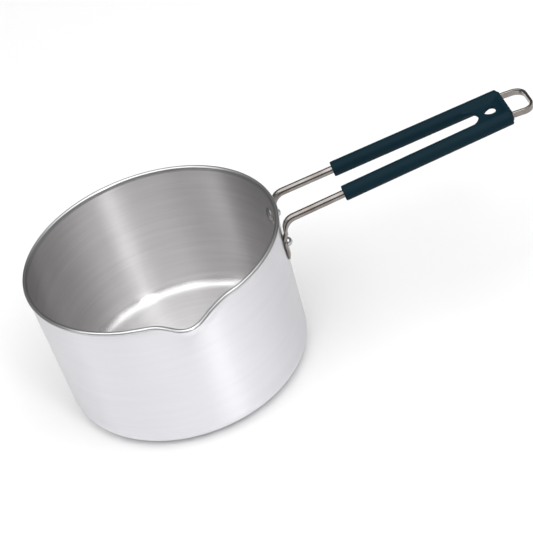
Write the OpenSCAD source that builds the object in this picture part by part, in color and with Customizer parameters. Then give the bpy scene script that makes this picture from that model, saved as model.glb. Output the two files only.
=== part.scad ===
// Candle melting pot: a spun aluminium pot with a pour lip, riveted to a bent steel
// wire handle. The middle of the wire is pressed flat into a hanging loop and a
// moulded grip is fixed around both legs of the wire.
// The origin is the centre of the pot's resting face. +Z is up, +X points along the
// handle, and the pour lip faces away from +Y, for a right-handed pour.

/* [Pot] */
// Outside diameter over the rim bead
rim_d = 160; // [150:1:166]
// Height from the resting face to the top of the rim
pot_h = 96; // [92:1:97]
// How far the wall leans in between the rim and the bottom corner
wall_lean = 2; // [0:0.5:4]
// Outside radius of the corner between the wall and the bottom
corner_r = 12; // [8:1:20]
// Thickness of the wall
wall_t = 1.8; // [1.5:0.1:2.5]
// Thickness of the floor
floor_t = 2.2; // [1.6:0.1:4]
// Diameter of the rolled bead around the rim
bead_d = 2.8; // [2.6:0.1:3.4]

/* [Pour lip] */
// Direction of the lip, counted around the pot from the handle
lip_angle = -84.5; // [-110:0.5:-60]
// Distance from the pot's axis to the tip of the lip
lip_reach = 92.7; // [88:0.1:97]
// Radius of the lip's rounded tip
lip_tip_r = 10; // [8:0.5:12]
// Half width of the lip at its root, on the side away from the handle
lip_back_w = 17.5; // [15:0.5:22]
// Half width of the lip at its root, on the side of the handle
lip_front_w = 29.5; // [22:0.5:31]
// Height over which the lip is pressed out of the wall
lip_h = 16; // [13:1:22]

/* [Wire] */
// Diameter of the round wire
wire_d = 4.8; // [4.4:0.1:5]
// Upward slope of the two straight legs
handle_slope = 6.9; // [5:0.1:9]
// Distance between the legs' centre lines beside the pot
leg_gap_pot = 29; // [27:0.5:31]
// Distance between the legs' centre lines at the far end of the grip
leg_gap_end = 24.4; // [24:0.1:25]
// Radius of the bend beside the rim, at the wire's centre line
bend_r = 8; // [7:0.5:9]
// Thickness of the flattened ends under the rivets
tab_t = 2.2; // [1.6:0.1:2.6]
// Width of the flattened ends around the rivets
tab_w = 8.6; // [8:0.2:10]

/* [Hanging loop] */
// Height of the pressed band
loop_h = 4; // [3:0.2:4.4]
// Thickness of the pressed band
loop_t = 1.8; // [1.4:0.1:2]
// Outside width of the loop
loop_w = 24.8; // [24:0.1:25.4]
// How far the loop stands out of the grip
loop_reach = 14.6; // [10:0.2:20]
// Outside radius of the loop's two corners
loop_corner_r = 7.5; // [5:0.5:10]

/* [Grip] */
// Diameter of the grip's two arms
grip_d = 9.7; // [9:0.1:10.4]
// Length of the grip
grip_len = 110.3; // [90:0.1:112]
// Thickness of the web that joins the arms
web_t = 2.4; // [2:0.1:4]
// Length of the web and end bar together, at the middle of the slot
web_len = 18.4; // [17:0.2:24]

/* [Rivets] */
// Direction of each rivet, counted around the pot from the handle
rivet_angle = 11.5; // [11:0.1:12]
// Height of the rivets above the resting face
rivet_z = 77; // [75:0.5:78]
// Diameter of the rivet shank and its holes
rivet_d = 4; // [3:0.2:4.6]
// Diameter of the domed outer head
dome_d = 6; // [5.4:0.2:7]
// Height of the domed outer head
dome_h = 2.9; // [2:0.1:2.9]
// Diameter of the low head inside the pot
inner_head_d = 10; // [8:0.5:12]
// Height of the low head inside the pot
inner_head_h = 1.6; // [1:0.1:2.4]

/* [Hidden] */
$fn = 96;

eps = 0.01;
// The bead stands this far outside the wall.
bead_out = 1;
bead_r = bead_d / 2;
bead_z = pot_h - bead_r;
wall_top_r = rim_d / 2 - bead_out;
wall_low_r = wall_top_r - wall_lean;
// The wall's angle from the vertical.
wall_tilt = atan(wall_lean / (bead_z - corner_r));
// The lip's root sits inside the wall, and its foot is the point where it leaves the wall.
lip_root_at = 67;
lip_root_r = 3;
lip_foot_in = 6;
lip_foot_r = 4;
lip_inset = 2.1;

// The straight legs pass through this point, just clear of the rim.
leg_start = [95, 0, 92.8];
grip_start = 24.5;
grip_end = grip_start + grip_len;
converge = atan((leg_gap_pot - leg_gap_end) / 2 / grip_end);
// The bend starts this far along the legs and turns until it follows the wall.
bend_start = -6.8;
bend_turn = 90 - wall_tilt - handle_slope;
bend_lean = 12;
shoulder_w = 5.4;
shoulder_top = -8.6;
shoulder_in = 0.2;
shoulder_out = 5.9;
tab_tip_r = 1.4;
tab_tip_at = 11.5;
// The legs stop inside the grip's end bar, where the flat band takes over.
leg_end = grip_end - 3.6;
loop_x = leg_start[0] + grip_end * cos(handle_slope);
loop_z = leg_start[2] + grip_end * sin(handle_slope);
band_inside = 6;

end_bar = 4;
web_z = 0.8;
slot_end_r = 7.2;
arm_chamfer = 1.6;
end_chamfer = 2.4;
// The head inside stands off the round wall by the wall's own curve.
head_gap = 0.2;

function wall_r(z) = wall_low_r + wall_lean * (z - corner_r) / (bead_z - corner_r);

// One side of a cup: a leaning wall above a rounded bottom corner.
module cup_profile(low_r, top_r, z_low, z_high, r) {
    tilt = atan((top_r - low_r) / (z_high - z_low - r));
    polygon([
        [0, z_low],
        [low_r - r, z_low],
        [low_r - r + r * cos(tilt), z_low + r - r * sin(tilt)],
        [top_r, z_high],
        [0, z_high]
    ]);
    translate([low_r - r, z_low + r]) circle(r = r);
}

// The V-shaped lip, from its outline at the rim down to a point on the wall.
module lip_shape(inset, rise) {
    rotate([0, 0, lip_angle]) hull() {
        translate([lip_reach - lip_tip_r, 0, bead_z - bead_r])
            cylinder(r = lip_tip_r - inset, h = bead_d + rise, $fn = 40);
        for (across = [-lip_back_w, lip_front_w])
            translate([lip_root_at, across, bead_z - bead_r])
                cylinder(r = lip_root_r - inset / 2, h = bead_d + rise, $fn = 24);
        translate([wall_top_r - lip_foot_in - inset, 0, pot_h - lip_h])
            sphere(r = lip_foot_r, $fn = 24);
    }
}

module at_rivet(side) {
    rotate([0, 0, side * rivet_angle])
        translate([wall_r(rivet_z), 0, rivet_z])
            rotate([0, 90 + wall_tilt, 0])
                children();
}

module handle_frame() {
    translate(leg_start) rotate([0, -handle_slope, 0]) children();
}

module on_leg(side) {
    handle_frame()
        translate([0, side * leg_gap_pot / 2, 0])
            rotate([0, 0, -side * converge])
                children();
}

module rod(from, to, d) {
    translate([from, 0, 0]) rotate([0, 90, 0]) cylinder(d = d, h = to - from);
}

module bend_frame() {
    translate([bend_start, 0, -bend_r]) rotate([90, 0, 0]) rotate([0, 0, 90]) children();
}

// A flattened wire end: a round eye at the rivet and a narrow rounded tip below it.
module tab_outline() {
    eye_r = tab_w / 2;
    flank = asin((eye_r - tab_tip_r) / tab_tip_at);
    circle(r = eye_r);
    translate([tab_tip_at, 0]) circle(r = tab_tip_r);
    polygon([
        [eye_r * sin(flank), eye_r * cos(flank)],
        [tab_tip_at + tab_tip_r * sin(flank), tab_tip_r * cos(flank)],
        [tab_tip_at + tab_tip_r * sin(flank), -tab_tip_r * cos(flank)],
        [eye_r * sin(flank), -eye_r * cos(flank)]
    ]);
}

// Seen from the side, the wire's change from round to flat is a wedge.
module shoulder() {
    rotate([90, 0, 0])
        linear_extrude(shoulder_w, center = true)
            polygon([
                [shoulder_top, shoulder_in],
                [shoulder_top, shoulder_out],
                [-dome_d / 2 - 0.2, tab_t - shoulder_in],
                [-rivet_d / 2 - 0.4, tab_t - shoulder_in],
                [-rivet_d / 2 - 0.4, shoulder_in]
            ]);
}

// The bend leans outward, toward the rivet, and ends inside the shoulder.
module wire_end(side) {
    on_leg(side) rotate([side * bend_lean, 0, 0]) {
        rod(bend_start, leg_end, wire_d);
        bend_frame() rotate_extrude(angle = bend_turn) translate([bend_r, 0]) circle(d = wire_d);
    }
    at_rivet(side) {
        linear_extrude(tab_t) tab_outline();
        shoulder();
    }
}

// A flat shape with square inner end and two rounded outer corners.
module loop_plan(half_w, reach, r) {
    translate([-band_inside, -half_w]) square([band_inside + reach - r, 2 * half_w]);
    translate([0, -half_w + r]) square([reach, 2 * (half_w - r)]);
    for (side = [-1, 1])
        translate([reach - r, side * (half_w - r)]) circle(r = r);
}

// The pressed band leaves the grip level, on edge.
module loop_band() {
    translate([loop_x, 0, loop_z - loop_h / 2])
        linear_extrude(loop_h)
            difference() {
                loop_plan(loop_w / 2, loop_reach, loop_corner_r);
                translate([-eps, 0])
                    loop_plan(loop_w / 2 - loop_t, loop_reach - loop_t, loop_corner_r - loop_t);
            }
}

module cap(d, h) {
    ball_r = (d * d / 4 + h * h) / (2 * h);
    intersection() {
        translate([0, 0, h - ball_r]) sphere(r = ball_r);
        cylinder(d = d, h = h);
    }
}

module pot_body() {
    color("gainsboro") difference() {
        union() {
            rotate_extrude($fn = 180)
                cup_profile(wall_low_r, wall_top_r, 0, bead_z, corner_r);
            rotate_extrude($fn = 180)
                translate([rim_d / 2 - bead_r, bead_z]) circle(r = bead_r, $fn = 32);
            lip_shape(0, 0);
        }
        rotate_extrude($fn = 180)
            cup_profile(wall_low_r - wall_t, wall_top_r - wall_t, floor_t, pot_h + eps,
                corner_r - wall_t);
        lip_shape(lip_inset, 1);
        for (side = [-1, 1])
            at_rivet(side) cylinder(d = rivet_d, h = 6 * wall_t, center = true);
    }
}

module handle_wire() {
    color("silver") {
        difference() {
            for (side = [-1, 1]) wire_end(side);
            for (side = [-1, 1])
                at_rivet(side) cylinder(d = rivet_d, h = 4 * tab_t, center = true);
        }
        loop_band();
    }
}

module grip_arm(side) {
    on_leg(side) {
        translate([grip_start, 0, 0]) rotate([0, 90, 0])
            cylinder(d1 = grip_d - 2 * arm_chamfer, d2 = grip_d, h = arm_chamfer);
        rod(grip_start + arm_chamfer, grip_end - end_chamfer, grip_d);
        translate([grip_end - end_chamfer, 0, 0]) rotate([0, 90, 0])
            cylinder(d1 = grip_d, d2 = grip_d - 2 * end_chamfer, h = end_chamfer);
    }
}

// The hole is wider on the side away from the pot.
module hang_hole() {
    mid = grip_end - 10.4;
    translate([0, 0, web_z]) linear_extrude(3 * web_t, center = true)
        hull() {
            for (side = [-1, 1]) translate([mid + 0.4, side * 1.7]) circle(r = 3.3, $fn = 32);
            translate([mid - 1.6, 0]) circle(r = 2.6, $fn = 32);
        }
}

module grip() {
    color([0.07, 0.16, 0.21]) difference() {
        union() {
            for (side = [-1, 1]) grip_arm(side);
            handle_frame() {
                translate([grip_end - web_len - slot_end_r, -leg_gap_end / 2, web_z - web_t / 2])
                    cube([web_len + slot_end_r - end_bar + 1, leg_gap_end, web_t]);
                translate([grip_end - end_bar, -leg_gap_end / 2, -grip_d / 2])
                    cube([end_bar, leg_gap_end, grip_d]);
            }
        }
        for (side = [-1, 1]) on_leg(side) rod(grip_start - 1, leg_end, wire_d);
        loop_band();
        handle_frame() {
            translate([grip_end - web_len - slot_end_r, 0, 0])
                cylinder(r = slot_end_r, h = 3 * grip_d, center = true);
            hang_hole();
        }
    }
}

module rivet(side) {
    color("whitesmoke") at_rivet(side) {
        translate([0, 0, -wall_t - head_gap]) cylinder(d = rivet_d, h = wall_t + head_gap + tab_t);
        translate([0, 0, tab_t]) cap(dome_d, dome_h);
        translate([0, 0, -wall_t - head_gap]) mirror([0, 0, 1]) cap(inner_head_d, inner_head_h);
    }
}

module left_rivet() {
    rivet(-1);
}

module right_rivet() {
    rivet(1);
}

pot_body();
handle_wire();
grip();
left_rivet();
right_rivet();
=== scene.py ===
"""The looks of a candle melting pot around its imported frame: a spun aluminium pot with a pour lip,
a bent steel wire whose middle is pressed flat into a hanging loop, a moulded grip and two rivets.
Shapes are worked out in millimetres and scaled to metres as each mesh is made."""

import itertools
import math

import bpy
import numpy as np
from mathutils import Matrix, Vector


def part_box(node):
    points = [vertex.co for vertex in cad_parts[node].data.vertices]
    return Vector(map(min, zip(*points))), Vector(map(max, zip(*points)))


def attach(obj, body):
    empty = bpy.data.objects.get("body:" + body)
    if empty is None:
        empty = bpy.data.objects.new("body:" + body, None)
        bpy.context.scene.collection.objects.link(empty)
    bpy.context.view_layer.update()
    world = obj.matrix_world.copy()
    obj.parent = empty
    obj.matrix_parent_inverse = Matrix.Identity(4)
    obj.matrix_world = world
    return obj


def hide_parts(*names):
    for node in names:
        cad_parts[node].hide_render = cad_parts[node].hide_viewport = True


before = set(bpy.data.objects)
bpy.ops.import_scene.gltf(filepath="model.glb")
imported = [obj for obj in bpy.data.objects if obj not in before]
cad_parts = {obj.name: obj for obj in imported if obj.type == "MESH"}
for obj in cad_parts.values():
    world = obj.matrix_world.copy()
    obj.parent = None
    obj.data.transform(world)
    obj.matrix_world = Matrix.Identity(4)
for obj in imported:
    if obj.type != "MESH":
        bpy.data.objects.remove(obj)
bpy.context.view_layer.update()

MM = 0.001

# The pot's outside size comes from the frame.
pot_low, pot_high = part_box("pot_body")
RIM_R = -pot_low.x / MM
POT_H = pot_high.z / MM

# The rim's rolled bead, and how far it stands out of the wall.
BEAD_R = 1.4
BEAD_OUT = 1.0
WALL_T = 1.8
FLOOR_T = 2.2
WALL_LEAN = 2.0
CORNER_R = 12.0
BEAD_Z = POT_H - BEAD_R
BEAD_CENTRE_R = RIM_R - BEAD_R
WALL_TOP_R = RIM_R - BEAD_OUT
WALL_LOW_R = WALL_TOP_R - WALL_LEAN
WALL_TILT = math.atan(WALL_LEAN / (BEAD_Z - CORNER_R))

# The lip's direction in degrees from the handle, the height over which the wall turns into it,
# how late the flare comes, and how narrow the lip is at its foot.
LIP_ANGLE = -84.4
LIP_H = 16.0
LIP_FLARE = 1.6
LIP_LOW_WIDTH = 0.35
# How far the rim leaves its circle, by the angle in degrees from the lip's tip.
LIP_OUTLINE = [
    (-28, 0), (-19, -0.3), (-13.5, 0.3), (-10.6, 1.8), (-7, 5.4), (-3.3, 10.2),
    (0, 12.1), (3.4, 11.0), (7, 7.7), (10, 4.8), (14.4, 1.9), (19, 0), (28, 0),
]
# The rim's curl opens a little at the tip, within some degrees of it.
CURL_OPEN = 0.6
CURL_WIDTH = 6.5
# The underside is slightly hollow: its profile (r, z), from the middle to the standing edge.
UNDERSIDE = [(25, 0.7), (50, 0.65), (56, 0.5), (60, 0.12), (62, 0)]

# The handle's frame starts midway between the legs, and its X runs along them.
LEG_START = Vector((95, 0, 92.8))
SLOPE = 6.9
LEG_GAP = 29.0
CONVERGE = 0.977
WIRE_R = 2.4
BEND_START = -8.5
BEND_R = 8.0
BEND_LEAN = 12.0
# From some degrees round the bend, the wire is pressed to this half width and half thickness.
PRESSED_FROM = 25
PRESSED_W = 2.9
PRESSED_T = 1.25
# The squareness of a section: 2 is round, and a large number is a rectangle.
ROUND = 2.0
TAB_SQUARE = 3.2
LOOP_SQUARE = 5.0

RIVET_ANGLE = 11.5
RIVET_Z = 77.0
SHANK_R = 2.0
DOME_R = 2.95
DOME_H = 2.7
HEAD_R = 5.2
HEAD_H = 1.6

# The tab is a round end about the rivet that narrows to a small round tip.
TAB_R = 4.3
TAB_T = 2.2
TAB_TIP_R = 1.4
TAB_TIP_AT = 11.5
TAB_NECK_AT = -2.6
TAB_TIP_THIN = 0.62
TAB_TAPER = 4.0

GRIP_R = 4.85
GRIP_START = 24.5
GRIP_END = 134.8
# The arms stop a little before the end bar's face and lie just inside their nominal radius.
ARM_SHORT = 1.4
ARM_INSIDE = 0.06
GRIP_EDGE = 0.9
SLOT_END_X = 109.2
SLOT_END_R = 7.2
WEB_HALF_W = 12.2
WEB_LOW = -0.4
WEB_HIGH = 2.0
# The web thickens into the end bar between these places.
RAMP_START = 127.2
RAMP_END = 132.8
RAMP_RISE = 1.5
BAR_LENGTH = 3.0
BAR_HALF_W = 12.6
BAR_HALF_H = 3.4
# The hang hole is wide at its far side and narrows towards the pot.
HOLE_WIDE = {"x": 124.9, "half_flat": 1.3, "radius": 2.8}
HOLE_NARROW = {"x": 121.9, "radius": 1.5}

LOOP_H = 4.0
LOOP_T = 1.8
LOOP_W = 24.8
LOOP_REACH = 14.6
LOOP_CORNER_R = 7.5
# The round wire turns into the loop's flat band over a length inside the grip.
BAND_TURN_START = 14
BAND_TURN_END = 3

# Turning marks, in cycles a metre around the pot and across the marks.
FINE_MARKS = (30, 2600)
BROAD_MARKS = (14, 260)
WORN_PATCHES = 30.0
# The heights where the inside's colour darkens towards its floor, and where its smoother fillet begins
# and ends.
FLOOR_DARKENING_FADE = (11, 3.5)
FILLET_FOOT = (2.3, 4)
FILLET_TOP = (11, 7)

# The room: the direction of its bright front, its light by the height of a direction, and the
# share of that light by how far the direction faces the front.
ROOM_FRONT = (math.cos(math.radians(-95)), math.sin(math.radians(-95)), 0)
ROOM_HEIGHTS = (0.15, 0.75)
ROOM_LIGHT = (0.06, 0.72)
ROOM_SIDES = (-0.7, 0.5)
ROOM_SIDE_LIGHT = (0.3, 1.0)

# The camera's view, in degrees and millimetres, with the pot's middle off the picture's centre.
CAMERA_AZIMUTH = -1.8
CAMERA_ELEVATION = 36.64
CAMERA_ROLL = -17.51
CAMERA_DISTANCE = 1015.26
CAMERA_ASIDE = 47.04
CAMERA_ABOVE = 60.11
LENS = 108.07
SENSOR = 36


# ---- Shared mesh and material helpers ----


def hermite(t, start, end, start_slope, end_slope):
    """A cubic from start to end with given slopes, where t runs from 0 to 1."""
    return (
        (1 + 2 * t) * (1 - t) ** 2 * start
        + t * (1 - t) ** 2 * start_slope
        + t * t * (3 - 2 * t) * end
        + t * t * (t - 1) * end_slope
    )


def smooth_line(points, at):
    """Values of a smooth line through (place, value) points, level at both ends."""
    places, values = np.array(points, float).T
    slopes = np.gradient(values, places)
    slopes[[0, -1]] = 0
    at = np.clip(at, places[0], places[-1])
    i = np.clip(np.searchsorted(places, at) - 1, 0, len(places) - 2)
    span = places[i + 1] - places[i]
    t = (at - places[i]) / span
    return hermite(t, values[i], values[i + 1], span * slopes[i], span * slopes[i + 1])


def ease(t):
    """0 to 1 with level ends."""
    t = np.clip(t, 0, 1)
    return t * t * (3 - 2 * t)


def arc(centre, radius, start, end, steps):
    """Points (r, z) of a circular arc, its angles in degrees from the outward direction."""
    angles = np.radians(np.linspace(start, end, steps + 1))
    return [(centre[0] + radius * math.cos(a), centre[1] + radius * math.sin(a)) for a in angles]


def mesh_object(name, points, faces, materials, face_material=None, matrix=None):
    """A smooth-shaded object from points in millimetres."""
    mesh = bpy.data.meshes.new(name)
    mesh.from_pydata(np.asarray(points, float) * MM, [], faces)
    for material in materials:
        mesh.materials.append(material)
    if face_material is not None:
        mesh.polygons.foreach_set("material_index", face_material)
    mesh.shade_smooth()
    made = bpy.data.objects.new(name, mesh)
    bpy.context.scene.collection.objects.link(made)
    if matrix is not None:
        made.matrix_world = matrix
    return made


def ring_faces(rows, columns):
    """Quads between neighbouring rows of points, each row closed on itself."""
    faces = []
    for row in range(rows - 1):
        low, high = row * columns, (row + 1) * columns
        for a in range(columns):
            b = (a + 1) % columns
            faces.append((low + a, low + b, high + b, high + a))
    return faces


def fan(centre, first, columns, turned):
    """Triangles from a centre point to a row of points."""
    faces = []
    for a in range(columns):
        b = (a + 1) % columns
        pair = (first + b, first + a) if turned else (first + a, first + b)
        faces.append((centre, *pair))
    return faces


def millimetre_matrix(matrix):
    """The same placement with its shift given in metres."""
    scaled = matrix.copy()
    scaled.translation = matrix.translation * MM
    return scaled


def add_node(tree, kind, inputs=(), **settings):
    """A node with its settings, and its inputs linked or given a value."""
    made = tree.nodes.new(kind)
    for name, value in settings.items():
        setattr(made, name, value)
    for key, value in dict(inputs).items():
        if isinstance(value, bpy.types.NodeSocket):
            tree.links.new(value, made.inputs[key])
        else:
            made.inputs[key].default_value = value
    return made


def new_material(name, values):
    """A material with constants set on its Principled shader."""
    material = bpy.data.materials.new(name)
    material.use_nodes = True
    shader = material.node_tree.nodes["Principled BSDF"]
    for key, value in values.items():
        shader.inputs[key].default_value = value
    return material, material.node_tree, shader


def mapped(tree, value, old, new, kind="LINEAR"):
    """The value, moved from the old (low, high) range to the new one."""
    inputs = {0: value, 1: old[0], 2: old[1], 3: new[0], 4: new[1]}
    return add_node(tree, "ShaderNodeMapRange", inputs, interpolation_type=kind).outputs[0]


def spread(tree, value, low, high):
    """The value, stretched from 0..1 to low..high."""
    return mapped(tree, value, (0, 1), (low, high))


def object_place(tree):
    """The point's place in its object, in metres."""
    return add_node(tree, "ShaderNodeTexCoord").outputs["Object"]


def maths(tree, operation, first, second):
    """The result of one operation on two values."""
    return add_node(tree, "ShaderNodeMath", {0: first, 1: second}, operation=operation).outputs[0]


def noise(tree, vector, scale, detail=2.0):
    """Noise from 0 to 1."""
    inputs = {"Vector": vector, "Scale": scale, "Detail": detail}
    return add_node(tree, "ShaderNodeTexNoise", inputs).outputs["Fac"]


def blend_colours(tree, factor, first, second):
    """A colour between two given ones."""
    inputs = {"Factor": factor, 6: (*first, 1), 7: (*second, 1)}
    return add_node(tree, "ShaderNodeMix", inputs, data_type="RGBA").outputs[2]


def set_surface(tree, shader, colour, finish, bump_height, bump_depth, bump_strength=1.0):
    """The shader's colour, roughness and bump, with the bump's depth in millimetres."""
    inputs = {"Height": bump_height, "Strength": bump_strength, "Distance": bump_depth * MM}
    bump = add_node(tree, "ShaderNodeBump", inputs)
    tree.links.new(colour, shader.inputs["Base Color"])
    tree.links.new(finish, shader.inputs["Roughness"])
    tree.links.new(bump.outputs[0], shader.inputs["Normal"])


def height_share(tree, height, start, end):
    """0 to 1 between two heights in millimetres, with level ends."""
    return mapped(tree, height, (start * MM, end * MM), (0, 1), "SMOOTHSTEP")


def turned_vector(tree, around, across):
    """Coordinates that vary slowly around the pot's axis and quickly across the turning marks."""
    parts = add_node(tree, "ShaderNodeSeparateXYZ", {0: object_place(tree)}).outputs
    flat = add_node(tree, "ShaderNodeCombineXYZ", {0: parts[0], 1: parts[1], 2: 0.0}).outputs[0]
    radius = add_node(tree, "ShaderNodeVectorMath", {0: flat}, operation="LENGTH").outputs["Value"]
    path = maths(tree, "ADD", radius, parts[2])
    joined = add_node(tree, "ShaderNodeCombineXYZ", {0: parts[0], 1: parts[1], 2: path}).outputs[0]
    stretch = (around, around, across)
    made = add_node(tree, "ShaderNodeVectorMath", {0: joined, 1: stretch}, operation="MULTIPLY")
    return made.outputs[0]


# ---- Materials ----


def turned_aluminium(name, shades, roughness, anisotropy, mark_depth, floor=None):
    """Aluminium with fine marks that run around the pot's axis. Where a floor is given, as its
    brightness against the wall and the roughness of the fillet, the inside's colour is darker towards
    its floor than on the wall, and its fillet is smoother."""
    constants = {"Metallic": 1.0, "Anisotropic": anisotropy, "Anisotropic Rotation": 0.25}
    material, tree, shader = new_material(name, constants)
    fine = noise(tree, turned_vector(tree, *FINE_MARKS), 1.0, 3.0)
    broad = noise(tree, turned_vector(tree, *BROAD_MARKS), 1.0)
    patches = noise(tree, object_place(tree), WORN_PATCHES)
    marks = maths(tree, "MULTIPLY", maths(tree, "ADD", fine, broad), 0.5)
    colour = blend_colours(tree, spread(tree, marks, -0.5, 1.5), *shades)
    finish = spread(tree, maths(tree, "MULTIPLY", marks, patches), *roughness)
    if floor:
        brightness, fillet_roughness = floor
        # The inside's colour is made darker towards its floor.
        height = add_node(tree, "ShaderNodeSeparateXYZ", {0: object_place(tree)}).outputs[2]
        low = height_share(tree, height, *FLOOR_DARKENING_FADE)
        floor_darkening = blend_colours(tree, low, (1, 1, 1), (brightness,) * 3)
        inputs = {"Factor": 1.0, 6: colour, 7: floor_darkening}
        settings = {"data_type": "RGBA", "blend_type": "MULTIPLY"}
        colour = add_node(tree, "ShaderNodeMix", inputs, **settings).outputs[2]
        foot, top = (height_share(tree, height, *fade) for fade in (FILLET_FOOT, FILLET_TOP))
        inputs = {0: maths(tree, "MULTIPLY", foot, top), 2: finish, 3: fillet_roughness}
        finish = add_node(tree, "ShaderNodeMix", inputs).outputs[0]
    set_surface(tree, shader, colour, finish, marks, mark_depth)
    tangent = add_node(tree, "ShaderNodeTangent", direction_type="RADIAL", axis="Z")
    tree.links.new(tangent.outputs[0], shader.inputs["Tangent"])
    return material


def bright_steel():
    """Drawn steel wire, polished, with faint warm stains."""
    material, tree, shader = new_material("wire_steel", {"Metallic": 1.0})
    place = object_place(tree)
    stains = noise(tree, place, 90.0, 3.0)
    grain = noise(tree, place, 1800.0)
    clean, stained = (0.3, 0.29, 0.28), (0.2, 0.165, 0.14)
    colour = blend_colours(tree, spread(tree, stains, -0.7, 1.6), clean, stained)
    set_surface(tree, shader, colour, spread(tree, stains, 0.06, 0.3), grain, 0.004)
    return material


def grip_plastic():
    """Dark moulded plastic with a fine grain."""
    material, tree, shader = new_material("grip_plastic", {"Specular IOR Level": 0.06})
    place = object_place(tree)
    grain = noise(tree, place, 2600.0)
    cloud = noise(tree, place, 60.0, 3.0)
    colour = blend_colours(tree, cloud, (0.003, 0.0165, 0.026), (0.0055, 0.022, 0.033))
    set_surface(tree, shader, colour, spread(tree, cloud, 0.4, 0.58), grain, 0.04, 0.5)
    return material


def rivet_aluminium():
    """Pressed aluminium with small dents."""
    material, tree, shader = new_material("rivet_aluminium", {"Metallic": 1.0})
    dents = noise(tree, object_place(tree), 700.0, 3.0)
    colour = blend_colours(tree, dents, (0.38, 0.38, 0.39), (0.52, 0.52, 0.52))
    set_surface(tree, shader, colour, spread(tree, dents, 0.16, 0.36), dents, 0.03)
    return material


# ---- Pot ----


def wall_r(z):
    """The wall's outside radius at a height."""
    return WALL_LOW_R + WALL_LEAN * (z - CORNER_R) / (BEAD_Z - CORNER_R)


def lip_out(angle, rise):
    """How far the wall is pushed out, where rise is 0 at the lip's foot and 1 at the rim."""
    width = LIP_LOW_WIDTH + (1 - LIP_LOW_WIDTH) * rise
    return smooth_line(LIP_OUTLINE, (np.degrees(angle) - LIP_ANGLE) / width) * rise**LIP_FLARE


def pot_row(radius, z, angles):
    """One row of points around the pot. The rim's line is pushed out, and the row is offset from it."""
    rise = np.clip((z - POT_H + LIP_H) / (BEAD_Z - POT_H + LIP_H), 0, 1)
    step = 0.001  # radians, for the outline's slope
    line_r = BEAD_CENTRE_R + lip_out(angles, rise)
    change = (lip_out(angles + step, rise) - lip_out(angles - step, rise)) / (2 * step)
    out = np.stack([np.cos(angles), np.sin(angles)], 1)
    around = np.stack([-np.sin(angles), np.cos(angles)], 1)
    normal = line_r[:, None] * out - change[:, None] * around
    normal /= np.linalg.norm(normal, axis=1, keepdims=True)
    open_share = ease(1 - np.abs(np.degrees(angles) - LIP_ANGLE) / CURL_WIDTH)
    below = np.clip((BEAD_Z - z) / BEAD_R, 0, 1) if radius > WALL_TOP_R else 0
    offset = radius - BEAD_CENTRE_R + CURL_OPEN * below * open_share
    flat = line_r[:, None] * out + offset[:, None] * normal
    return np.column_stack([flat, np.full(len(angles), z)])


def pot():
    """The spun pot, turned from one closed profile: out under the floor, up the outside, over
    the bead, and down the inside to the middle of the floor."""
    low, high = math.degrees(WALL_TILT), BEAD_Z - 1.6
    lip_foot = POT_H - LIP_H
    heights = [*np.linspace(CORNER_R, lip_foot, 12), *np.linspace(lip_foot, high, 20)[1:]]
    corner = arc((WALL_LOW_R - CORNER_R, CORNER_R), CORNER_R, -90, -low, 16)
    outer = [(wall_r(z), z) for z in heights[1:]]
    under_bead = [(wall_r(BEAD_Z) - 0.01, BEAD_Z - 1.42)]
    bead = arc((BEAD_CENTRE_R, BEAD_Z), BEAD_R, -68, 180, 20)
    inner = [(wall_r(z) - WALL_T, z) for z in reversed(heights)]
    fillet_r = CORNER_R - WALL_T
    fillet_centre = (WALL_LOW_R - CORNER_R, FLOOR_T + fillet_r)
    fillet = arc(fillet_centre, fillet_r, -low, -90, 16)[1:]
    floor = [(50, FLOOR_T), (25, FLOOR_T)]
    profile = UNDERSIDE + corner + outer + under_bead + bead + inner + fillet + floor

    # The columns stand closer together at the lip.
    lip = math.radians(LIP_ANGLE)
    edge = math.radians(LIP_OUTLINE[-1][0])
    angles = np.concatenate([
        np.linspace(lip - edge, lip + edge, 240, endpoint=False),
        np.linspace(lip + edge, lip - edge + 2 * math.pi, 300, endpoint=False),
    ])
    angles = (angles + math.pi) % (2 * math.pi) - math.pi
    rows = [pot_row(radius, z, angles) for radius, z in profile]
    columns = len(angles)
    points = np.concatenate([*rows, [(0, 0, UNDERSIDE[0][1]), (0, 0, FLOOR_T)]])
    faces = ring_faces(len(profile), columns)
    last = len(profile) * columns

    # Each face's material: 0 outside, 1 on the rim, which is the same aluminium painted darker as
    # painted shade, and 2 inside.
    kinds = np.zeros(len(faces), int)
    rim_start = len(UNDERSIDE + corner + outer) * columns
    rim_end = rim_start + len(under_bead + bead) * columns
    kinds[rim_start:rim_end] = 1
    kinds[rim_end:] = 2
    faces += fan(last, 0, columns, True) + fan(last + 1, last - columns, columns, False)
    kinds = np.concatenate([kinds, np.zeros(columns, int), np.full(columns, 2)])
    outer_shades = ((0.86, 0.85, 0.88), (0.91, 0.9, 0.93))
    # The rim is painted darker than the outside: painted shade that dims the bead's reflected
    # highlight.
    rim_painted_darker_shades = ((0.5, 0.5, 0.51), (0.68, 0.68, 0.69))
    inner_shades = ((0.72, 0.71, 0.715), (0.84, 0.825, 0.825))
    # The floor's brightness against the wall, and the fillet's roughness.
    floor_darkening_and_fillet = (0.78, 0.27)
    materials = [
        turned_aluminium("outer_aluminium", outer_shades, (0.42, 0.52), 0.9, 0.0012),
        turned_aluminium("rim_aluminium_painted_darker", rim_painted_darker_shades, (0.26, 0.42), 0.2, 0.01),
        turned_aluminium("inner_aluminium", inner_shades, (0.42, 0.62), 0.96, 0.004, floor_darkening_and_fillet),
    ]
    made = mesh_object("spun_pot", points, faces, materials, kinds)
    # The radial tangent turns about the middle of the texture space, so that is put on the axis.
    made.data.use_auto_texspace = False
    made.data.texspace_location = (0, 0, POT_H * MM / 2)
    made.data.texspace_size = (RIM_R * MM, RIM_R * MM, POT_H * MM / 2)
    return made


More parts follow.
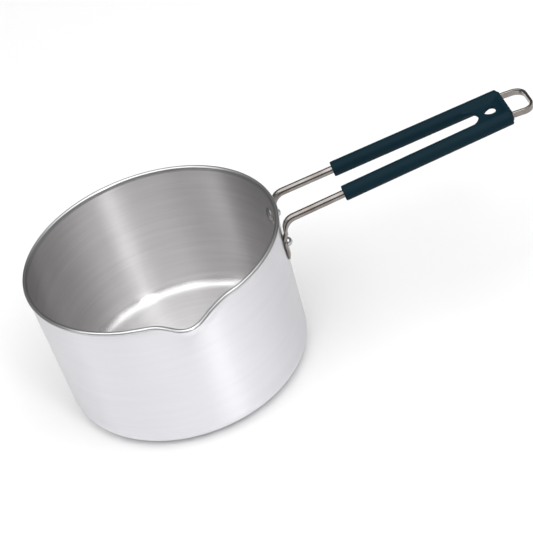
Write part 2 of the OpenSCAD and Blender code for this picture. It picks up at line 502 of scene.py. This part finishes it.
# ---- Wire ----


def rotation(degrees, axis):
    """A turn about one axis."""
    return Matrix.Rotation(math.radians(degrees), 4, axis)


def rivet_matrix(side):
    """The frame of a rivet: X down the wall, Z out of it."""
    place = rotation(side * RIVET_ANGLE, "Z") @ Matrix.Translation((wall_r(RIVET_Z), 0, RIVET_Z))
    return place @ rotation(90 + math.degrees(WALL_TILT), "Y")


def handle_matrix():
    """The frame of the handle: X along it, away from the pot."""
    return Matrix.Translation(LEG_START) @ rotation(-SLOPE, "Y")


def leg_matrix(lean):
    """The frame of the leg on the +Y side: X along the leg."""
    place = handle_matrix() @ Matrix.Translation((0, LEG_GAP / 2, 0))
    return place @ rotation(-CONVERGE, "Z") @ rotation(lean, "X")


def tab_half_width(x):
    """Half the width of a flattened wire end, x millimetres below its rivet."""
    flank = math.asin((TAB_R - TAB_TIP_R) / TAB_TIP_AT)
    if x > TAB_TIP_AT + TAB_TIP_R * math.sin(flank):
        return math.sqrt(max(TAB_TIP_R**2 - (x - TAB_TIP_AT) ** 2, 0.0025))
    if x > TAB_R * math.sin(flank):
        return (TAB_R - x * math.sin(flank)) / math.cos(flank)
    return math.sqrt(TAB_R**2 - x * x)


def half_wire():
    """Stations of the wire on the +Y side, from the tab's tip to the middle of the loop: place,
    side direction, half width, half thickness and squareness of the section."""
    stations = []
    rivet = rivet_matrix(1)
    tangent = rivet.to_3x3() @ Vector((0, 1, 0))
    ends = np.linspace(TAB_TIP_AT + TAB_TIP_R, TAB_TIP_AT, 7)[:-1]
    for x in [*ends, *np.linspace(TAB_TIP_AT, TAB_NECK_AT, 24)]:
        taper = ease((TAB_TIP_AT + TAB_TIP_R - x) / TAB_TAPER)
        thick = TAB_T / 2 * (TAB_TIP_THIN + (1 - TAB_TIP_THIN) * taper)
        place = rivet @ Vector((x, 0, thick))
        stations.append((place, tangent, tab_half_width(x), thick, TAB_SQUARE))

    leg = leg_matrix(BEND_LEAN)
    turn = 90 - math.degrees(WALL_TILT) - SLOPE
    across = leg.to_3x3() @ Vector((0, 1, 0))
    centre = Vector((BEND_START, 0, -BEND_R))

    def on_bend(degrees):
        a = math.radians(degrees)
        return leg @ (centre + BEND_R * Vector((-math.sin(a), 0, math.cos(a))))

    # The tab's neck runs smoothly into the foot of the bend.
    start, end = stations[-1][0], on_bend(turn)
    start_way = rivet.to_3x3() @ Vector((-1, 0, 0))
    end_way = (on_bend(turn - 1) - end).normalized()
    reach = (end - start).length
    neck_w = tab_half_width(TAB_NECK_AT)
    for t in np.linspace(0, 1, 15)[1:-1]:
        bend = ease(t)
        place = hermite(t, start, end, reach * start_way, reach * end_way)
        wide = neck_w + (PRESSED_W - neck_w) * ease(min(1.6 * t, 1))
        thick = TAB_T / 2 + (PRESSED_T - TAB_T / 2) * bend
        stations.append((place, tangent.lerp(across, bend), wide, thick, TAB_SQUARE))
    for degrees in np.linspace(turn, 0, 24):
        pressed = ease((degrees - PRESSED_FROM) / (turn - PRESSED_FROM))
        wide = WIRE_R + (PRESSED_W - WIRE_R) * pressed
        thick = WIRE_R + (PRESSED_T - WIRE_R) * pressed
        square = ROUND + (TAB_SQUARE - ROUND) * pressed
        stations.append((on_bend(degrees), across, wide, thick, square))
    for x in np.linspace(BEND_START, GRIP_END - BAND_TURN_START, 24)[1:]:
        stations.append((leg @ Vector((x, 0, 0)), across, WIRE_R, WIRE_R, ROUND))

    # The flat band leaves the grip level.
    grip_face = handle_matrix() @ Vector((GRIP_END, 0, 0))
    half_w = (LOOP_W - LOOP_T) / 2
    corner_r = LOOP_CORNER_R - LOOP_T / 2
    far_x = grip_face.x + LOOP_REACH - LOOP_T / 2
    band_start = Vector((grip_face.x - BAND_TURN_END, half_w, grip_face.z))
    round_end = stations[-1][0]
    flat = (LOOP_T / 2, LOOP_H / 2)
    for t in np.linspace(0, 1, 12)[1:-1]:
        side = across.lerp(Vector((0, 1, 0)), t)
        wide = WIRE_R + (flat[0] - WIRE_R) * ease(t)
        thick = WIRE_R + (flat[1] - WIRE_R) * ease(t)
        place = round_end.lerp(band_start, t)
        stations.append((place, side, wide, thick, ROUND + (LOOP_SQUARE - ROUND) * t))
    for x in np.linspace(band_start.x, far_x - corner_r, 5)[:-1]:
        place = Vector((x, half_w, grip_face.z))
        stations.append((place, Vector((0, 1, 0)), *flat, LOOP_SQUARE))
    corner = Vector((far_x - corner_r, half_w - corner_r, grip_face.z))
    for degrees in np.linspace(0, 90, 17):
        a = math.radians(degrees)
        way = Vector((math.sin(a), math.cos(a), 0))
        stations.append((corner + corner_r * way, way, *flat, LOOP_SQUARE))
    stations.append((Vector((far_x, 0, grip_face.z)), Vector((1, 0, 0)), *flat, LOOP_SQUARE))
    return stations


def wire(material):
    """The whole wire, swept through both halves' stations."""
    half = half_wire()
    mirror = Vector((1, -1, 1))
    other = [(place * mirror, side * mirror, *rest) for place, side, *rest in reversed(half[:-1])]
    places, sides, wides, thicks, squares = (np.array(v, float) for v in zip(*half, *other))
    ways = np.gradient(places, axis=0)
    ways /= np.linalg.norm(ways, axis=1, keepdims=True)
    sides -= ways * np.sum(sides * ways, axis=1, keepdims=True)
    sides /= np.linalg.norm(sides, axis=1, keepdims=True)
    ups = np.cross(ways, sides)
    columns = 28
    turn = np.linspace(0, 2 * math.pi, columns, endpoint=False)
    power = 2 / squares[:, None]
    across = np.sign(np.cos(turn)) * np.abs(np.cos(turn)) ** power * wides[:, None]
    along_up = np.sign(np.sin(turn)) * np.abs(np.sin(turn)) ** power * thicks[:, None]
    rings = places[:, None] + across[..., None] * sides[:, None] + along_up[..., None] * ups[:, None]
    rows = len(places)
    points = np.concatenate([rings.reshape(-1, 3), places[:1], places[-1:]])
    faces = ring_faces(rows, columns)
    faces += fan(rows * columns, 0, columns, True)
    faces += fan(rows * columns + 1, (rows - 1) * columns, columns, False)
    return mesh_object("bent_wire", points, faces, [material])


# ---- Grip ----


def join(a, b, fillet):
    """The union of two distance fields, with a fillet where they meet."""
    h = np.clip(0.5 + 0.5 * (b - a) / fillet, 0, 1)
    return b + (a - b) * h - fillet * h * (1 - h)


def cut(a, b, fillet):
    """Field a without field b, with a rounded edge."""
    return -join(-a, b, fillet)


def rounded_box(x, y, z, low, high, edge):
    """The distance to a box with rounded edges."""
    gaps = [
        np.abs(v - (lo + hi) / 2) - (hi - lo) / 2 + edge for v, lo, hi in zip((x, y, z), low, high)
    ]
    outside = np.sqrt(sum(np.maximum(g, 0) ** 2 for g in gaps))
    return outside + np.minimum(np.maximum.reduce(gaps), 0) - edge


def grip_field(points):
    """The distance to the grip's surface, in the handle's own frame."""
    x, y, z = points[..., 0], np.abs(points[..., 1]), points[..., 2]
    c, s = math.cos(math.radians(CONVERGE)), math.sin(math.radians(CONVERGE))
    along = c * x - s * (y - LEG_GAP / 2)
    aside = s * x + c * (y - LEG_GAP / 2)
    arm_end = GRIP_END - ARM_SHORT
    ring = np.hypot(aside, z) - GRIP_R + ARM_INSIDE + GRIP_EDGE
    end = np.abs(along - (GRIP_START + arm_end) / 2) - (arm_end - GRIP_START) / 2 + GRIP_EDGE
    arm = np.hypot(np.maximum(ring, 0), np.maximum(end, 0)) + np.minimum(np.maximum(ring, end), 0)
    arm -= GRIP_EDGE
    lift = RAMP_RISE * ease((x - RAMP_START) / (RAMP_END - RAMP_START))
    web_low = (SLOT_END_X, -WEB_HALF_W, WEB_LOW - 2 * lift)
    web_high = (GRIP_END - 1, WEB_HALF_W, WEB_HIGH + lift)
    web = rounded_box(x, y, z, web_low, web_high, 0.3)
    web = cut(web, np.hypot(x - SLOT_END_X, y) - SLOT_END_R, 0.7)
    bar_low = (GRIP_END - BAR_LENGTH, -BAR_HALF_W, -BAR_HALF_H)
    bar = rounded_box(x, y, z, bar_low, (GRIP_END, BAR_HALF_W, BAR_HALF_H), GRIP_EDGE)
    wide_y = np.maximum(y - HOLE_WIDE["half_flat"], 0)
    wide = np.hypot(x - HOLE_WIDE["x"], wide_y) - HOLE_WIDE["radius"]
    narrow = np.hypot(x - HOLE_NARROW["x"], y) - HOLE_NARROW["radius"]
    plate = join(web, bar, 1.6)
    return cut(join(arm, plate, 1.2), join(wide, narrow, 3), 0.35)


def surface_nets(field, low, step):
    """A quad mesh of a sampled field's zero surface, with one point in each crossed cell. The
    field's samples start at low and are a step apart."""
    size = np.array(field.shape) - 1
    total, count = np.zeros((*size, 3)), np.zeros(size)
    cells = tuple(slice(0, n) for n in size)
    for axis in range(3):
        sides = [a for a in range(3) if a != axis]
        for shift in itertools.product((0, 1), repeat=2):
            corner = np.zeros(3, int)
            corner[sides] = shift
            ahead = corner + np.eye(3, dtype=int)[axis]
            first = field[tuple(slice(c, c + n) for c, n in zip(corner, size))]
            second = field[tuple(slice(c, c + n) for c, n in zip(ahead, size))]
            crossed = (first < 0) != (second < 0)
            share = np.where(crossed, first / np.where(crossed, first - second, 1), 0)
            for a in range(3):
                total[..., a] += crossed * corner[a] + (share if a == axis else 0)
            count += crossed
    used = count > 0
    index = np.full(size, -1)
    index[used] = np.arange(used.sum())
    points = np.argwhere(used) + total[used] / count[used][:, None]
    faces = []
    for axis in range(3):
        b, c = (axis + 1) % 3, (axis + 2) % 3
        ahead = np.eye(3, dtype=int)[axis]
        first = field[cells]
        second = field[tuple(slice(s, s + n) for s, n in zip(ahead, size))]
        for enters in (True, False):
            crossed = (first < 0) & (second >= 0) if enters else (first >= 0) & (second < 0)
            at = np.argwhere(crossed)
            corners = []
            for back_b, back_c in ((0, 0), (1, 0), (1, 1), (0, 1)):
                there = at.copy()
                there[:, b] -= back_b
                there[:, c] -= back_c
                corners.append(index[tuple(there.T)])
            quads = np.stack(corners, 1)
            faces.append(quads if enters else quads[:, ::-1])
    return low + points * step, np.concatenate(faces)


def grip(material):
    """The moulded grip: a mesh of its field, with each point then moved onto the exact surface."""
    step = 0.4
    margin, half_w, half_h = 1.5, 21.0, 6.5
    low = np.array([GRIP_START - margin, -half_w, -half_h])
    high = np.array([GRIP_END + margin, half_w, half_h])
    axes = [np.arange(lo, hi, step) for lo, hi in zip(low, high)]
    field = grip_field(np.stack(np.meshgrid(*axes, indexing="ij"), -1))
    points, faces = surface_nets(field, low, step)
    probe = 0.02
    for _ in range(4):
        slopes = [grip_field(points + probe * e) - grip_field(points - probe * e) for e in np.eye(3)]
        slope = np.stack(slopes, 1) / (2 * probe)
        size = np.maximum(np.sum(slope**2, axis=1), 0.2)
        points = points - slope * (grip_field(points) / size)[:, None]
    placement = millimetre_matrix(handle_matrix())
    return mesh_object("moulded_grip", points, faces.tolist(), [material], matrix=placement)


# ---- Rivets ----


def lathe(name, profile, columns, material, matrix):
    """A closed turned shape from its profile (r, z), from the lower end of its axis to the upper."""
    angles = np.linspace(0, 2 * math.pi, columns, endpoint=False)
    around = np.stack([np.cos(angles), np.sin(angles)], 1)
    inner = profile[1:-1]
    rows = [np.column_stack([r * around, np.full(columns, z)]) for r, z in inner]
    points = np.concatenate([*rows, [(0, 0, profile[0][1]), (0, 0, profile[-1][1])]])
    last = len(inner) * columns
    faces = ring_faces(len(inner), columns) + fan(last, 0, columns, True)
    faces += fan(last + 1, last - columns, columns, False)
    return mesh_object(name, points, faces, [material], matrix=millimetre_matrix(matrix))


def dome(radius, height, base, up):
    """A dome's profile, from its edge to its top, or the other way round when it points down."""
    ball = (radius**2 + height**2) / (2 * height)
    reach = math.asin(radius / ball) if height < radius else math.pi - math.asin(radius / ball)
    steps = [reach * (1 - i / 12) for i in range(13)]
    points = [(ball * math.sin(a), height - ball + ball * math.cos(a)) for a in steps]
    if up:
        return [(r, base + z) for r, z in points]
    return [(r, base - z) for r, z in reversed(points)]


def rivet(name, side, material):
    """A rivet with a wide head on the wall's inside and a domed end over the tab."""
    head_base = -WALL_T - 0.3
    head = dome(HEAD_R, HEAD_H, head_base, False)
    head += [(HEAD_R, -WALL_T - 0.05), (HEAD_R - 0.1, 0.05 - WALL_T), (SHANK_R, 0.05 - WALL_T)]
    end = [(SHANK_R, TAB_T - 0.3), (DOME_R - 0.05, TAB_T - 0.05), (DOME_R + 0.05, TAB_T + 0.1)]
    end += dome(DOME_R, DOME_H, TAB_T + 0.15, True)
    return lathe(name, head + end, 48, material, rivet_matrix(side))


# ---- Studio ----


def add_floor():
    """A plain pale floor, in metres."""
    reach = 8
    corners = [(-reach, -reach, 0), (reach, -reach, 0), (reach, reach, 0), (-reach, reach, 0)]
    mesh = bpy.data.meshes.new("floor")
    mesh.from_pydata(corners, [], [(0, 1, 2, 3)])
    material, _, _ = new_material("floor_white", {"Base Color": (0.9, 0.9, 0.9, 1), "Roughness": 0.9})
    mesh.materials.append(material)
    floor = bpy.data.objects.new("floor", mesh)
    bpy.context.scene.collection.objects.link(floor)


def add_light(name, place, size, power):
    """A soft rectangular light that points at the pot, its size in metres and power in watts."""
    target = Vector((0, 0, 0.05))
    data = bpy.data.lights.new(name, "AREA")
    data.shape = "RECTANGLE"
    data.size, data.size_y = size
    data.energy = power
    light = bpy.data.objects.new(name, data)
    light.location = place
    light.rotation_mode = "QUATERNION"
    light.rotation_quaternion = (Vector(place) - target).to_track_quat("Z", "Y")
    bpy.context.scene.collection.objects.link(light)


def polar(azimuth, elevation, distance):
    """A place by its direction, in degrees counted from the handle, and its distance in metres."""
    a, e = math.radians(azimuth), math.radians(elevation)
    flat = distance * math.cos(e)
    return (flat * math.cos(a), flat * math.sin(a), distance * math.sin(e))


def add_world():
    """A room that is bright overhead, darker behind, and dark near the horizon."""
    world = bpy.data.worlds.new("studio")
    world.use_nodes = True
    tree = world.node_tree
    way = add_node(tree, "ShaderNodeTexCoord").outputs["Generated"]
    height = add_node(tree, "ShaderNodeSeparateXYZ", {0: way}).outputs[2]
    turned = add_node(
        tree, "ShaderNodeVectorMath", {0: way, 1: ROOM_FRONT}, operation="DOT_PRODUCT"
    ).outputs["Value"]
    overhead = mapped(tree, height, ROOM_HEIGHTS, ROOM_LIGHT, "SMOOTHSTEP")
    strength = maths(tree, "MULTIPLY", overhead, mapped(tree, turned, ROOM_SIDES, ROOM_SIDE_LIGHT))
    tree.links.new(strength, tree.nodes["Background"].inputs["Strength"])
    tree.nodes["Background"].inputs["Color"].default_value = (1, 1, 1, 1)
    bpy.context.scene.world = world


def add_camera():
    """The camera, from its direction, its roll and its shift in the picture's own plane."""
    azimuth, elevation, roll = np.radians([CAMERA_AZIMUTH, CAMERA_ELEVATION, CAMERA_ROLL]).tolist()
    level = Vector((math.cos(azimuth), math.sin(azimuth), 0))
    back = Vector((
        math.sin(azimuth) * math.cos(elevation),
        -math.cos(azimuth) * math.cos(elevation),
        math.sin(elevation),
    ))
    upright = back.cross(level)
    right = math.cos(roll) * level + math.sin(roll) * upright
    up = math.cos(roll) * upright - math.sin(roll) * level
    data = bpy.data.cameras.new("camera")
    data.sensor_width = SENSOR
    data.lens = LENS
    camera = bpy.data.objects.new("camera", data)
    matrix = Matrix((right, up, back)).transposed().to_4x4()
    shift = right * CAMERA_ASIDE + up * CAMERA_ABOVE
    matrix.translation = (shift + back * CAMERA_DISTANCE) * MM
    camera.matrix_world = matrix
    bpy.context.scene.collection.objects.link(camera)
    bpy.context.scene.camera = camera


# ---- Scene ----

steel = bright_steel()
aluminium = rivet_aluminium()
pieces = [
    (pot(), "pot_body", "pot_aluminium"),
    (wire(steel), "handle_wire", "wire_steel"),
    (grip(grip_plastic()), "grip", "grip_plastic"),
    (rivet("set_rivet_left", -1, aluminium), "left_rivet", "rivet_aluminium"),
    (rivet("set_rivet_right", 1, aluminium), "right_rivet", "rivet_aluminium"),
]
for piece, node_name, slot_name in pieces:
    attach(piece, "root")
    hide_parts(node_name)

add_camera()
add_floor()
add_world()
add_light("overhead", (0.1, -0.4, 3.4), (5, 5), 130)
add_light("front_window", polar(-65, 42, 1.6), (0.23, 1.2), 4.2)
add_light("side_window", polar(-169, 42, 1.6), (0.14, 1.2), 1.8)
bpy.context.scene.view_settings.view_transform = "Standard"
